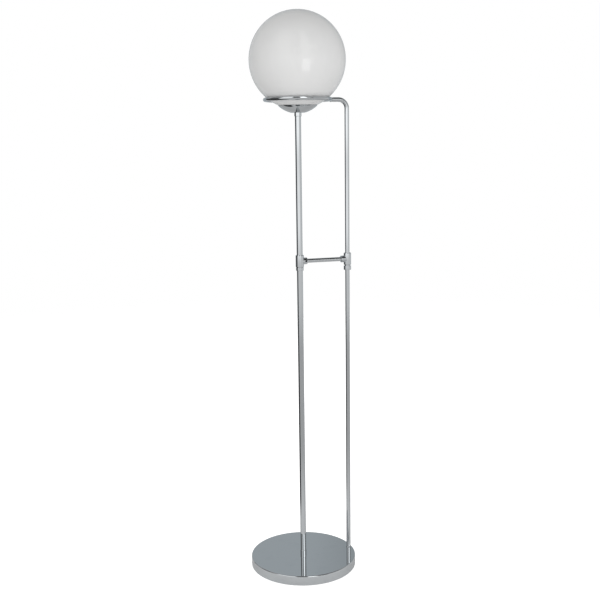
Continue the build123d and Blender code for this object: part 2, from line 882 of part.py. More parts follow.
def centre_contact():
    """Bent tongue on the insert that meets the bulb's tip."""
    low = insert_top + contact_thickness / 2
    high = insert_top + contact_rise - contact_thickness / 2
    path = Polyline(*zip(contact_reach, (low, low, high, high)))
    profile = Plane.XZ * trace(path, line_width=contact_thickness)
    return extrude(profile, contact_width / 2, both=True)


# Bulb


def bulb_cap():
    """Metal screw cap: rounded thread below, plain skirt above."""
    crest = bulb_cap_diameter / 2
    root = bulb_root_radius
    core = bulb_core_radius
    bottom = bulb_bottom + bulb_insulator_height
    thread_top = bottom + bulb_thread_pitch * bulb_thread_turns
    top = bulb_bottom + bulb_cap_height
    skirt = crest - bulb_thread_depth / 3
    outline = Line((core, bottom), (root, bottom))
    for turn in range(bulb_thread_turns):
        low = bottom + bulb_thread_pitch * turn
        middle = low + bulb_thread_pitch / 2
        outline += ThreePointArc((root, low), (crest, middle), (root, low + bulb_thread_pitch))
    slope_top = thread_top + skirt - root
    outline += Polyline((root, thread_top), (skirt, slope_top), (skirt, top), (core, top), (core, bottom))
    return turned(outline)


def bulb_insulator():
    """Glass plug between the cap and the tip."""
    bottom = bulb_bottom + bulb_tip_height
    top = bulb_bottom + bulb_insulator_height
    core = bulb_core_radius - press_gap
    plug_top = top + bulb_insulator_plug
    return turned_corners(
        (0, bottom),
        (bulb_tip_radius, bottom),
        (bulb_root_radius, top),
        (core, top),
        (core, plug_top),
        (0, plug_top),
    )


def bulb_tip():
    """Centre contact of the bulb."""
    return turned_corners(
        (0, bulb_bottom),
        (bulb_tip_radius - bulb_tip_height / 2, bulb_bottom),
        (bulb_tip_radius, bulb_bottom + bulb_tip_height / 2),
        (bulb_tip_radius, bulb_bottom + bulb_tip_height),
        (0, bulb_bottom + bulb_tip_height),
    )


def bulb_body():
    """Plastic cone between the cap and the diffuser, open inside for the driver."""
    core = bulb_core_radius - press_gap
    cap_top = bulb_bottom + bulb_cap_height
    neck_bottom = bulb_bottom + bulb_insulator_height + bulb_insulator_plug
    wide = bulb_diameter / 2 - bulb_rim_step
    top = bulb_body_top
    return turned_corners(
        (core - bulb_wall, neck_bottom),
        (core, neck_bottom),
        (core, cap_top),
        (core + bulb_wall, cap_top),
        (wide, top),
        (wide - bulb_wall, top),
        (core, cap_top + bulb_wall),
        (core - bulb_wall, cap_top),
    )


def bulb_board():
    """Round board with the light sources, in the mouth of the body's cone."""
    radius = bulb_diameter / 2 - bulb_rim_step - bulb_wall - bulb_board_gap
    return round_bar(2 * radius, bulb_body_top - bulb_board_thickness, bulb_body_top)


def bulb_diffuser():
    """Opal dome that closes the bulb."""
    outer = bulb_diameter / 2
    top = bulb_bottom + bulb_length
    rim = bulb_body_top
    shoulder = top - outer
    inner = outer - bulb_wall
    dome = CenterArc((0, shoulder), outer, 0, 90)
    hollow = CenterArc((0, shoulder), inner, 90, -90)
    outline = (
        Line((outer, rim), (outer, shoulder))
        + dome
        + Line((0, top), (0, top - bulb_wall))
        + hollow
        + Line((inner, shoulder), (inner, rim))
        + Line((inner, rim), (outer, rim))
    )
    return turned(outline)


nodes = {
    "foot_pad": foot_pad(),
    "base_plate": base_plate(),
    "base_plate_screws": base_plate_screws(),
    "base_weight": base_weight(),
    "base_cover": base_cover(),
    "cable_gland": cable_gland(),
    "terminal_block": terminal_block(),
    "terminal_screws": terminal_screws(),
    "block_screw": block_screw(),
    "earth_screw": earth_screw(),
    "inner_lead": inner_lead(),
    "foot_collar": foot_collar(),
    "foot_bush": tube_bush(base_height),
    "foot_nipple": foot_nipple(),
    "foot_washer": foot_washer(),
    "foot_nut": foot_nut(),
    "lower_main_tube": lower_main_tube(),
    "main_joint_sleeve": main_joint_sleeve(),
    "main_union_nut": main_union_nut(),
    "main_tee": main_tee(),
    "tee_set_screw": tee_set_screw(),
    "upper_main_tube": upper_main_tube(),
    "top_bush": tube_bush(cup_bottom - ferrule_web - bush_length),
    "top_ferrule": top_ferrule(),
    "holder_nipple": holder_nipple(),
    "crossbar": crossbar(),
    "side_foot_flange": side_foot_flange(),
    "side_foot_bush": side_foot_bush(),
    "side_foot_washer": side_foot_washer(),
    "side_foot_screw": side_foot_screw(),
    "lower_side_rod": lower_side_rod(),
    "side_joint_dowel": side_joint_dowel(),
    "side_union_nut": side_union_nut(),
    "side_tee": side_tee(),
    "upper_side_rod": upper_side_rod(),
    "arm_end_plug": arm_end_plug(),
    "globe_ring": globe_ring(),
    "gallery_cup": gallery_cup(),
    "globe_seat_ring": globe_seat_ring(),
    "globe_clips": globe_clips(),
    "cup_nut": cup_nut(),
    "globe": globe(),
    "holder_cap": holder_cap(),
    "holder_sleeve": holder_sleeve(),
    "holder_insert": holder_insert(),
    "holder_terminal_screws": holder_terminal_screws(),
    "thread_shell": thread_shell(),
    "centre_contact": centre_contact(),
    "bulb_tip": bulb_tip(),
    "bulb_insulator": bulb_insulator(),
    "bulb_cap": bulb_cap(),
    "bulb_body": bulb_body(),
    "bulb_board": bulb_board(),
    "bulb_diffuser": bulb_diffuser(),
}

os.makedirs("parts", exist_ok=True)
for name, shape in nodes.items():
    export_step(shape, f"parts/{name}.step")
print(len(nodes), "nodes written")
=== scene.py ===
# %% [markdown]
# # Globe floor lamp
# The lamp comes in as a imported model: every part has its real size and place, in metres. This lesson
# gives the parts their finish, rebuilds the ones that need a finer surface, and sets up a small studio.

# %% Load the model
import json
import math

import bmesh
import bpy
from mathutils import Matrix, Vector


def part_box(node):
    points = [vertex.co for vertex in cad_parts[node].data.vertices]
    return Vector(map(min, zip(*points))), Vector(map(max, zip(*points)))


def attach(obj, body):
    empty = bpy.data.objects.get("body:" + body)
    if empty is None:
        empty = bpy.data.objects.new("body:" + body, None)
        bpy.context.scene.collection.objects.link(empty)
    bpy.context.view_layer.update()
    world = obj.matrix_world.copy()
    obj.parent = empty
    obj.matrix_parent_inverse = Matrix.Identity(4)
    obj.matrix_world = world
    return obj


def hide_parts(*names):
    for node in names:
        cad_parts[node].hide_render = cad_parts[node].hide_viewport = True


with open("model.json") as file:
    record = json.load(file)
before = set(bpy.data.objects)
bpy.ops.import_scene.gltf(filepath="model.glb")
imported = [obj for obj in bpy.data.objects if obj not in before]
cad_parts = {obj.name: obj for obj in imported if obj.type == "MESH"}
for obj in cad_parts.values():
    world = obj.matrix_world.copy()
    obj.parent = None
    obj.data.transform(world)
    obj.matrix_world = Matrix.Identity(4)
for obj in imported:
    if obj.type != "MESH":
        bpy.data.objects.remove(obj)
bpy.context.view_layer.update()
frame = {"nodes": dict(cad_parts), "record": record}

nodes = frame["nodes"]

# %% [markdown]
# ## The camera
# The photograph was taken with a short telephoto lens from a little to the left of the lamp's front, at
# chest height, looking slightly down. A camera could be aimed by eye until the picture looks right. Here
# its numbers come from fitting a pinhole camera to the outlines of the globe, the legs and the base, so
# that the render and the photograph can be laid over each other.

# %% Camera
PHOTO_SIDE = 600  # pixels
CAMERA_DISTANCE = 2.460
CAMERA_HEIGHT = 1.1651
CAMERA_AZIMUTH = math.radians(17.24)
CAMERA_TURN = math.radians(-0.015)
CAMERA_PITCH = math.radians(9.613)
CAMERA_ROLL = math.radians(0.736)
FOCAL_PIXELS = 929.7
SENSOR_WIDTH = 36.0

to_camera = Vector((-math.sin(CAMERA_AZIMUTH), -math.cos(CAMERA_AZIMUTH), 0))
to_right = Vector((math.cos(CAMERA_AZIMUTH), -math.sin(CAMERA_AZIMUTH), 0))


def add_camera():
    data = bpy.data.cameras.new("camera")
    data.sensor_width = SENSOR_WIDTH
    data.lens = FOCAL_PIXELS * SENSOR_WIDTH / PHOTO_SIDE
    camera = bpy.data.objects.new("camera", data)
    bpy.context.scene.collection.objects.link(camera)
    heading = Matrix.Rotation(-(CAMERA_AZIMUTH + CAMERA_TURN), 4, "Z")
    tilt = Matrix.Rotation(math.pi / 2 - CAMERA_PITCH, 4, "X")
    roll = Matrix.Rotation(-CAMERA_ROLL, 4, "Z")
    place = to_camera * CAMERA_DISTANCE + Vector((0, 0, CAMERA_HEIGHT))
    camera.matrix_world = Matrix.Translation(place) @ heading @ tilt @ roll
    bpy.context.scene.camera = camera
    return camera


camera = add_camera()
camera_place = [round(x, 3) for x in camera.matrix_world.translation]
print("camera at", camera_place, "m, lens", round(camera.data.lens, 1), "mm")

# %% [markdown]
# ## Shader maths in Python
# A finish is a small formula: some noise, a few numbers, a colour. Its nodes could be placed one by one in
# the editor, or made here by a long list of calls. One class that wraps a socket reads better, because
# Python's operators on it add the Math nodes.


# %% The socket class
class Wire:
    """A socket of a node tree that takes part in Python expressions."""

    def __init__(self, tree, socket=None):
        self.tree = tree
        self.socket = socket

    def node(self, kind, settings=None, inputs=None, out=0):
        """Adds a node, sets it up, fills its sockets and returns one of its outputs."""
        made = self.tree.nodes.new("ShaderNode" + kind)
        for name, setting in (settings or {}).items():
            setattr(made, name, setting)
        for name, value in (inputs or {}).items():
            if isinstance(value, Wire):
                self.tree.links.new(value.socket, made.inputs[name])
            else:
                made.inputs[name].default_value = value
        return Wire(self.tree, made.outputs[out] if len(made.outputs) else None)

    def math(self, operation, *others):
        """A Math node on this socket and any others."""
        inputs = dict(enumerate((self, *others)))
        return self.node("Math", {"operation": operation}, inputs)

    def __add__(self, other):
        return self.math("ADD", other)

    def __sub__(self, other):
        return self.math("SUBTRACT", other)

    def __mul__(self, other):
        return self.math("MULTIPLY", other)

    def __rsub__(self, first):
        return self.node("Math", {"operation": "SUBTRACT"}, {0: first, 1: self})

    __radd__ = __add__
    __rmul__ = __mul__

    def along(self, axis):
        """How far a vector reaches along an axis."""
        return self.node("VectorMath", {"operation": "DOT_PRODUCT"}, {0: self, 1: axis}, out="Value")

    def smooth(self, low, high):
        """0 below low, 1 above high, and an S curve between."""
        settings = {"interpolation_type": "SMOOTHSTEP"}
        return self.node("MapRange", settings, {"Value": self, "From Min": low, "From Max": high})

    def between(self, low, high, soft):
        """1 inside a band and 0 outside it, with soft edges."""
        return self.smooth(low - soft, low + soft) * (1 - self.smooth(high - soft, high + soft))


print("a wire takes +, - and *, also with a number on its left")

# %% [markdown]
# A Math node turns a colour grey, so colours go through a Mix node. It has separate sockets for numbers,
# vectors and colours under the same names, so the ones for colours are picked by their places.

# %% Mixing colours
MIX_FACTOR = 0
MIX_FIRST = 6
MIX_SECOND = 7
MIX_COLOUR = 2
WHITE = (1, 1, 1)
BLACK = (0, 0, 0)


def colour_value(colour):
    return colour if isinstance(colour, Wire) else (*colour, 1)


def mix_colours(factor, first, second):
    """A colour that goes from the first to the second as the factor goes from 0 to 1."""
    inputs = {MIX_FACTOR: factor, MIX_FIRST: colour_value(first), MIX_SECOND: colour_value(second)}
    return factor.node("Mix", {"data_type": "RGBA"}, inputs, out=MIX_COLOUR)


print("colours go in at", MIX_FIRST, "and", MIX_SECOND, "and come out at", MIX_COLOUR)

# %% [markdown]
# ## The studio
# Polished chrome has no colour of its own: it shows the room. Cards and soft boxes could stand round the
# lamp, but each would need a place where it hides no other. Here the room is a sphere of light, drawn by
# direction: a grey ground with panels laid on it one after the other. Bright ones stand at the front left
# and the front right with a dark gap between them, stripes lie low in front, the left side is dark, and
# so is the ceiling.

# %% Panels
UP = Vector((0, 0, 1))
ROOM_LEVEL = 0.50
SOFT_EDGE = math.radians(2)
PANELS = (
    # from azimuth, to azimuth, from elevation, to elevation (degrees), light level
    (-180, 180, 66, 90, 0.11),
    (130, 178, 5, 60, 0.42),
    (-62, 42, -13, -7, 0.80),
    (-62, 42, -7, -1, 1.22),
    (-62, 42, -1, 6, 1.45),
    (-62, -18, 4, 30, 1.05),
    (-62, -18, 30, 62, 1.40),
    (-17, 9, 7, 64, 0.02),
    (10, 32, 5, 62, 1.90),
    (32, 54, 8, 64, 0.06),
    (10, 50, 22, 27, 2.60),
    (38, 130, 44, 88, 0.06),
    (-130, -66, -70, 14, 0.09),
    (46, 125, -13, 7, 0.78),
    (-108, -60, 15, 42, 0.15),
)


def azimuth_of(vector):
    """Its angle round the lamp in radians, 0 towards the camera and positive to the camera's right."""
    return vector.along(to_right).math("ARCTAN2", vector.along(to_camera))


def panel_light(start, azimuth, elevation):
    """The light level of the panels, each laid over the ones before it."""
    light = start.node("Value")
    light.socket.default_value = ROOM_LEVEL
    for *edges, level in PANELS:
        west, east, low, high = (math.radians(edge) for edge in edges)
        mask = azimuth.between(west, east, SOFT_EDGE) * elevation.between(low, high, SOFT_EDGE)
        light = light + mask * (level - light)
    return light


print("room of", len(PANELS), "panels")

# %% [markdown]
# The panels are what the chrome mirrors, but they would light the white globe in patches. So the rays that
# light a matt surface find a second, even glow instead. It comes mostly from the front left, with a
# little from behind and less from above, which is how the glass is shaded in the photograph. The camera
# itself sees plain white behind the lamp. A Light Path node tells the three kinds of ray apart.

# %% Soft light and the world
SOFT_BACK = 0.70
SOFT_FRONT = 1.06
SOFT_LEAN = 0.45  # of the brightest side, to the left of the camera
SOFT_SPREAD = (-0.6, 0.9)  # along the brightest side, where the glow begins and is full
SOFT_TOP = (0.1, 1.5)  # radians of elevation between which it weakens
SOFT_TOP_LOSS = 0.60
SOFT_REAR = 0.30
REAR_SPREAD = (-0.8, -0.3)  # along the camera's side, where the rear is full and ends
BACK_TINT = (0.91, 0.985, 1.03)


def soft_light(direction, elevation, rear):
    """The light level for matt surfaces."""
    front = direction.along(to_camera - to_right * SOFT_LEAN).smooth(*SOFT_SPREAD)
    level = SOFT_BACK + front * (SOFT_FRONT - SOFT_BACK)
    return level - elevation.smooth(*SOFT_TOP) * SOFT_TOP_LOSS + rear * SOFT_REAR


def add_world():
    """Gives the scene a world whose light depends on the direction and on the kind of ray."""
    world = bpy.data.worlds.new("studio")
    world.use_nodes = True
    world.node_tree.nodes.clear()
    start = Wire(world.node_tree)
    direction = start.node("TexCoord", out="Generated")
    elevation = direction.along(UP).math("ARCSINE")
    rear = 1 - direction.along(to_camera).smooth(*REAR_SPREAD)
    panels = panel_light(start, azimuth_of(direction), elevation)
    soft = soft_light(direction, elevation, rear)
    mirrored = start.node("LightPath", out="Is Glossy Ray")
    seen = start.node("LightPath", out="Is Camera Ray")
    shown = soft + mirrored * (panels - soft)
    shown = shown + seen * (1 - shown)
    tint = mix_colours(rear * mirrored, WHITE, BACK_TINT)
    background = start.node("Background", inputs={"Strength": shown, "Color": tint})
    start.node("OutputWorld", inputs={"Surface": background})
    bpy.context.scene.world = world
    return world


world = add_world()
bpy.context.scene.view_settings.view_transform = "Standard"
print("world of", len(world.node_tree.nodes), "nodes")

# %% [markdown]
# ## The floor
# The floor gives the lamp a pool of light, weaker to the sides and behind. A black cloth lies on it to
# the left and draws the dark edge on the legs. As a real sheet the cloth would also darken the base and
# show in other views, so it is a patch of the floor's own colour that only mirrored rays find.

# %% Pool and cloth
POOL_INNER = 0.25
POOL_OUTER = 1.1
POOL_COLOUR = (0.28, 0.28, 0.28)
POOL_SIDES = 0.30  # of the pool's light, to the left and right of the lamp
POOL_FRONT = (-0.1, 0.75)  # cosines of the azimuths where its front begins and is full
CLOTH_WEST = math.radians(-135)
CLOTH_EAST = math.radians(-62)
CLOTH_INNER = 0.30
CLOTH_OUTER = 0.50
CLOTH_COLOUR = (0.05, 0.05, 0.05)


def pool_light(distance, azimuth):
    """The pool's strength, from 1 in front of the lamp to 0 away from it."""
    facing = azimuth.math("COSINE").smooth(*POOL_FRONT)
    return (1 - distance.smooth(POOL_INNER, POOL_OUTER)) * (POOL_SIDES + facing * (1 - POOL_SIDES))


def cloth_mask(distance, azimuth):
    """1 on the cloth and 0 beside it."""
    sector = azimuth.between(CLOTH_WEST, CLOTH_EAST, SOFT_EDGE)
    return sector * distance.smooth(CLOTH_INNER, CLOTH_OUTER)


print("pool of light", 2 * POOL_OUTER, "m across")

# %% [markdown]
# The camera sees neither of them: to it the floor is white and fades out where it would end. An Emission
# shader would be white too, but then the lamp would float on it. A matt surface that also gives off some
# light keeps a soft shadow round the base.

# %% Floor material
FLOOR_RADIUS = 4.5
FLOOR_FADE = 2.2
FLOOR_COLOUR = (0.88, 0.88, 0.88)
FLOOR_SHADE = 0.98  # of its colour, in the dark of its grain
FLOOR_GRAIN = 60.0
FLOOR_ROUGHNESS = 0.9
FLOOR_SHINE = 0.1
FLOOR_LIFT = 0.80


def noise(place, scale, detail=4.0, roughness=0.55):
    inputs = {"Vector": place, "Scale": scale, "Detail": detail, "Roughness": roughness}
    return place.node("TexNoise", inputs=inputs)


def floor_material():
    material = bpy.data.materials.new("studio_floor")
    material.use_nodes = True
    material.node_tree.nodes.clear()
    start = Wire(material.node_tree)
    place = start.node("TexCoord", out="Object")
    distance = start.node("VectorMath", {"operation": "LENGTH"}, {0: place}, out="Value")
    azimuth = azimuth_of(place)
    seen = start.node("LightPath", out="Is Camera Ray")
    mirrored = start.node("LightPath", out="Is Glossy Ray")
    cloth = cloth_mask(distance, azimuth) * mirrored
    glow = mix_colours(pool_light(distance, azimuth) * (1 - cloth), BLACK, POOL_COLOUR)
    grain = noise(place, FLOOR_GRAIN, detail=3.0, roughness=0.5)
    colour = mix_colours(grain, tuple(c * FLOOR_SHADE for c in FLOOR_COLOUR), FLOOR_COLOUR)
    surface = start.node(
        "BsdfPrincipled",
        inputs={
            "Base Color": mix_colours(cloth, colour, CLOTH_COLOUR),
            "Roughness": FLOOR_ROUGHNESS,
            "Specular IOR Level": FLOOR_SHINE,
            "Emission Color": mix_colours(seen, glow, WHITE),
            "Emission Strength": FLOOR_LIFT,
        },
    )
    clear = start.node("BsdfTransparent")
    fade = distance.smooth(FLOOR_FADE, FLOOR_RADIUS)
    mixed = start.node("MixShader", inputs={0: fade, 1: surface, 2: clear})
    start.node("OutputMaterial", inputs={"Surface": mixed})
    return material


print("floor fades out from", FLOOR_FADE, "to", FLOOR_RADIUS, "m")

# %% [markdown]
# The floor itself is one disc. A plane would do, but a disc ends at the same distance on every side,
# where it has faded out.

# %% Floor
FLOOR_STEPS = 96


def add_floor():
    shape = bmesh.new()
    bmesh.ops.create_circle(shape, cap_ends=True, segments=FLOOR_STEPS, radius=FLOOR_RADIUS)
    mesh = bpy.data.meshes.new("floor")
    shape.to_mesh(mesh)
    shape.free()
    mesh.materials.append(floor_material())
    floor = bpy.data.objects.new("floor", mesh)
    bpy.context.scene.collection.objects.link(floor)
    return floor


floor = add_floor()
print("floor of", 2 * FLOOR_RADIUS, "m")

# %% [markdown]
# ## The window
# The bright patch on the globe is a window of the room. It could be one more panel, but the glass mirrors
# only a few hundredths of what it sees, so a panel would have to be far too bright for the chrome. An
# area light gives the same patch and can be kept off the chrome later on.

# %% Window
WINDOW_AZIMUTH = math.radians(21)
WINDOW_DISTANCE = 2.2
WINDOW_HEIGHT = 0.75
WINDOW_SIZE = (0.80, 1.15)
WINDOW_POWER = 12.5
WINDOW_AIM = 1.3  # height on the lamp that it faces


def add_window():
    """A rectangular soft box to the right of the camera."""
    data = bpy.data.lights.new("window", "AREA")
    data.shape = "RECTANGLE"
    data.size, data.size_y = WINDOW_SIZE
    data.energy = WINDOW_POWER
    light = bpy.data.objects.new("window", data)
    bpy.context.scene.collection.objects.link(light)
    side = to_camera * math.cos(WINDOW_AZIMUTH) + to_right * math.sin(WINDOW_AZIMUTH)
    place = side * WINDOW_DISTANCE + UP * WINDOW_HEIGHT
    facing = (UP * WINDOW_AIM - place).to_track_quat("-Z", "Y")
    light.matrix_world = Matrix.Translation(place) @ facing.to_matrix().to_4x4()
    return light


window = add_window()
print("window at", [round(x, 2) for x in window.matrix_world.translation], "m")

# %% [markdown]
# ## Finishes
# Each material slot of the record gets one finish. A finish could be photographed and wrapped round the
# part as a picture. These are made only of noise and numbers instead, so that they work at any size. All
# of them read Object coordinates, which are metres on the lamp itself, so a scratch is as wide on a screw
# as on the base.

# %% Starting and ending a finish
finishes = {}
slot_of = {item["node"]: item["material_slot"] for item in frame["record"]["subparts"]}


def start_finish(slot):
    """An empty material for a slot; returns its tree's wire and its Object coordinates."""
    material = bpy.data.materials.new(slot + "_finish")
    material.use_nodes = True
    material.node_tree.nodes.clear()
    finishes[slot] = material
    wire = Wire(material.node_tree)
    return wire, wire.node("TexCoord", out="Object")


def end_finish(wire, height, depth, **surface):
    """Connects a Principled shader, with a height map through a Bump node."""
    inputs = {name.replace("_", " "): value for name, value in surface.items()}
    bump = {"Strength": 1.0, "Distance": depth, "Height": height}
    inputs["Normal"] = wire.node("Bump", inputs=bump)
    shader = wire.node("BsdfPrincipled", inputs=inputs)
    wire.node("OutputMaterial", inputs={"Surface": shader})


print("slots to finish:", ", ".join(sorted(set(slot_of.values()))))

# %% [markdown]
# The pieces inside the lamp are plated and blackened steel, brass, cast iron, rubber, plastics and
# ceramic. Each could have its own recipe, but they differ in only a few numbers: two colours, how
# metallic and how rough they are, the size and depth of their grain, and how blotchy they have become.
# So they share one recipe, and a table holds what differs.

# %% Hidden metal, rubber and plastic
GRAINS_TO_BLOTCH = 12
BLOTCH_EDGES = (0.35, 0.65)
BLOTCH_ROUGHNESS = 0.08
GRAIN_ROUGHNESS = 0.12
PLAIN_FINISHES = (
    # slot, light colour, dark colour, metal, roughness, grain per metre, grain depth in metres, wear
    ("plated_steel", (0.66, 0.67, 0.68), (0.50, 0.51, 0.52), 1.0, 0.26, 900.0, 0.00001, 0.6),
    ("black_steel", (0.035, 0.035, 0.038), (0.015, 0.015, 0.016), 1.0, 0.34, 1500.0, 0.00001, 0.7),
    ("spring_steel", (0.52, 0.51, 0.49), (0.34, 0.33, 0.32), 1.0, 0.24, 1200.0, 0.00001, 0.5),
    ("brass", (0.80, 0.60, 0.27), (0.55, 0.38, 0.15), 1.0, 0.22, 900.0, 0.00001, 0.6),
    ("cast_iron", (0.10, 0.098, 0.095), (0.045, 0.044, 0.044), 0.6, 0.62, 420.0, 0.0003, 0.8),
    ("rubber", (0.030, 0.030, 0.031), (0.018, 0.018, 0.019), 0.0, 0.72, 1600.0, 0.00003, 0.7),
    ("black_plastic", (0.024, 0.024, 0.025), (0.016, 0.016, 0.017), 0.0, 0.36, 1800.0, 0.00002, 0.6),
    ("white_plastic", (0.80, 0.80, 0.78), (0.72, 0.72, 0.70), 0.0, 0.38, 1800.0, 0.00002, 0.5),
    ("diffuser_plastic", (0.86, 0.86, 0.84), (0.80, 0.80, 0.79), 0.0, 0.48, 1400.0, 0.00001, 0.5),
    ("ceramic", (0.82, 0.81, 0.77), (0.70, 0.68, 0.63), 0.0, 0.30, 1100.0, 0.00003, 0.5),
    ("cable_sheath", (0.74, 0.74, 0.72), (0.66, 0.66, 0.64), 0.0, 0.42, 1500.0, 0.00001, 0.5),
)


def plain_finish(slot, light, dark, metal, rough, grain, depth, wear):
    """A finish whose colour, gloss and surface all follow two sizes of noise."""
    wire, place = start_finish(slot)
    fine = noise(place, grain)
    blotch = noise(place, grain / GRAINS_TO_BLOTCH, detail=3.0).smooth(*BLOTCH_EDGES)
    end_finish(
        wire,
        height=fine,
        depth=depth,
        Base_Color=mix_colours(blotch * wear, light, dark),
        Metallic=metal,
        Roughness=rough + fine * GRAIN_ROUGHNESS + blotch * BLOTCH_ROUGHNESS,
    )


for row in PLAIN_FINISHES:
    plain_finish(*row)
print(len(finishes), "plain finishes")

# %% [markdown]
# The bulb's board carries its light sources, small yellow squares on white solder mask. A Brick texture
# would set them in rows. A cell texture scatters them, because its cells grow round random points, and a
# distance that is counted the chessboard way makes them square. One number sets the size of the chips.

# %% Board
CHIP_PITCH = 0.007  # mean distance in metres
CHIP_HALF = 0.0016
CHIP_SOFT = 0.05  # of the pitch
CHIP_HEIGHT = 0.0003
CHIP_COLOUR = (0.86, 0.66, 0.12)
SOLDER_MASK_COLOUR = (0.78, 0.79, 0.78)
BOARD_ROUGHNESS = 0.35
BOARD_GRAIN = 800.0
BOARD_GRAIN_ROUGHNESS = 0.15


def board_finish():
    wire, place = start_finish("board")
    cells = {"Vector": place, "Scale": 1 / CHIP_PITCH}
    reach = wire.node("TexVoronoi", {"distance": "CHEBYCHEV"}, cells)
    chip_edge = CHIP_HALF / CHIP_PITCH
    chip = 1 - reach.smooth(chip_edge, chip_edge + CHIP_SOFT)
    end_finish(
        wire,
        height=chip,
        depth=CHIP_HEIGHT,
        Base_Color=mix_colours(chip, SOLDER_MASK_COLOUR, CHIP_COLOUR),
        Roughness=BOARD_ROUGHNESS + noise(place, BOARD_GRAIN) * BOARD_GRAIN_ROUGHNESS,
    )


board_finish()
print("chips about", CHIP_PITCH, "m apart")

# %% [markdown]
# Chrome is almost a perfect mirror with a faint blue cast. A metal with no roughness would look drawn
# rather than photographed. What makes it look real is what spoils the mirror: very shallow waves from the
# polishing wheel, fine wipe marks, and here and there a dull smudge.

# %% Chrome
CHROME_COLOUR = (0.575, 0.597, 0.612)
CHROME_SHADE = (0.555, 0.578, 0.595)
CHROME_ROUGHNESS = 0.018
SMUDGE_SCALE = 26.0
SMUDGE_EDGES = (0.5, 0.78)
SMUDGE_ROUGHNESS = 0.035
WIPE_SCALE = 380.0
WIPE_STRETCH = (1.0, 1.0, 9.0)
WIPE_ROUGHNESS = 0.015
WAVE_SCALE = 14.0
WAVE_DEPTH = 0.00003


def chrome_finish():
    wire, place = start_finish("chrome")
    smudge = noise(place, SMUDGE_SCALE, detail=5.0, roughness=0.62).smooth(*SMUDGE_EDGES)
    wiped = wire.node("Mapping", inputs={"Vector": place, "Scale": WIPE_STRETCH})
    marks = noise(wiped, WIPE_SCALE, detail=2.0)
    end_finish(
        wire,
        height=noise(place, WAVE_SCALE, detail=1.0),
        depth=WAVE_DEPTH,
        Base_Color=mix_colours(smudge, CHROME_COLOUR, CHROME_SHADE),
        Metallic=1.0,
        Roughness=CHROME_ROUGHNESS + smudge * SMUDGE_ROUGHNESS + marks * WIPE_ROUGHNESS,
    )


chrome_finish()
print("chrome with waves about", round(1 / WAVE_SCALE, 2), "m long")

# %% [markdown]
# Opal glass is clear glass over a milky layer. Light goes a little way in and comes out again, so the
# shading is soft, while the fire-polished skin gives crisp, weak reflections. Two real layers of glass
# would be slow to render and full of noise. A white base with a little subsurface and a low specular
# level looks much the same. The milk is never quite even, and holds a few fine specks.

# %% Opal glass
OPAL_LIGHT = (0.735, 0.735, 0.731)
OPAL_DARK = (0.712, 0.714, 0.712)
OPAL_ROUGHNESS = 0.05
OPAL_SHINE = 0.22
MILK_SCALE = 9.0
MILK_EDGES = (0.35, 0.7)
MILK_SHARE = 0.8
MILK_ROUGHNESS = 0.02
SPECK_SCALE = 700.0
SPECK_EDGES = (0.72, 0.80)
GLASS_WAVE_SCALE = 20.0
GLASS_WAVE_DEPTH = 0.0002
MILK_WEIGHT = 0.2
MILK_DEPTH = 0.005


def opal_finish():
    wire, place = start_finish("opal_glass")
    milk = noise(place, MILK_SCALE, detail=3.0).smooth(*MILK_EDGES)
    specks = noise(place, SPECK_SCALE, detail=2.0).smooth(*SPECK_EDGES)
    end_finish(
        wire,
        height=noise(place, GLASS_WAVE_SCALE, detail=2.0),
        depth=GLASS_WAVE_DEPTH,
        Base_Color=mix_colours(milk * MILK_SHARE + specks * (1 - MILK_SHARE), OPAL_LIGHT, OPAL_DARK),
        Roughness=OPAL_ROUGHNESS + milk * MILK_ROUGHNESS,
        Specular_IOR_Level=OPAL_SHINE,
        Subsurface_Weight=MILK_WEIGHT,
        Subsurface_Radius=(1.0, 1.0, 1.0),
        Subsurface_Scale=MILK_DEPTH,
    )


opal_finish()
for node, part in nodes.items():
    part.material_slots[0].material = finishes[slot_of[node]]
print(len(finishes), "finishes on", len(nodes), "parts")

# %% [markdown]
# ## Turned parts
# Nearly everything on this lamp was made on a lathe, so it is round: a tube, a collar, a nut, a pressed
# cover. Blender could give a cylinder and then cut it, but a turned part is easier to draw the way a
# turner thinks of it, as half of its cross-section. The outline is a line of corners in millimetres. A
# round stretch of it is one corner turned about a centre.

# %% Drawing an outline
MM = 0.001


def drawn(start, *moves):
    """Draws a line of (radius, height) points; a move is a point, or a turn about a centre."""
    shape = bmesh.new()
    tip = shape.verts.new((start[0], 0, start[1]))
    for move in moves:
        if len(move) == 2:
            corner = shape.verts.new((move[0], 0, move[1]))
            shape.edges.new((tip, corner))
            tip = corner
        else:
            height, degrees, steps = move
            arc = bmesh.ops.spin(
                shape,
                geom=[tip],
                cent=(0, 0, height),
                axis=(0, 1, 0),
                angle=math.radians(degrees),
                steps=steps,
            )
            tip = arc["geom_last"][0]
    return shape


def close_outline(shape):
    """Joins the two ends of a drawn line."""
    ends = [vert for vert in shape.verts if len(vert.link_edges) == 1]
    shape.edges.new(ends)


print("outlines are drawn at", MM, "m to the unit")

# %% [markdown]
# The Spin operator sweeps the outline round the lamp's axis. A Screw modifier could do it too, but the
# operator leaves a finished mesh whose edges can be broken next. The steps are fine enough for a mirror
# finish, where any flat spot would show as a kink in the reflection.

# %% Spinning it round
NEAR = 0.001  # mm, closer than this is the same place
TUBE_STEPS = 128
DISC_STEPS = 256


def spin_round(shape, steps):
    """Sweeps what has been drawn once round the Z axis."""
    bmesh.ops.spin(
        shape,
        geom=shape.verts[:] + shape.edges[:],
        cent=(0, 0, 0),
        axis=(0, 0, 1),
        angle=math.tau,
        steps=steps,
        use_merge=True,
    )
    bmesh.ops.remove_doubles(shape, verts=shape.verts[:], dist=NEAR)
    bmesh.ops.recalc_face_normals(shape, faces=shape.faces[:])


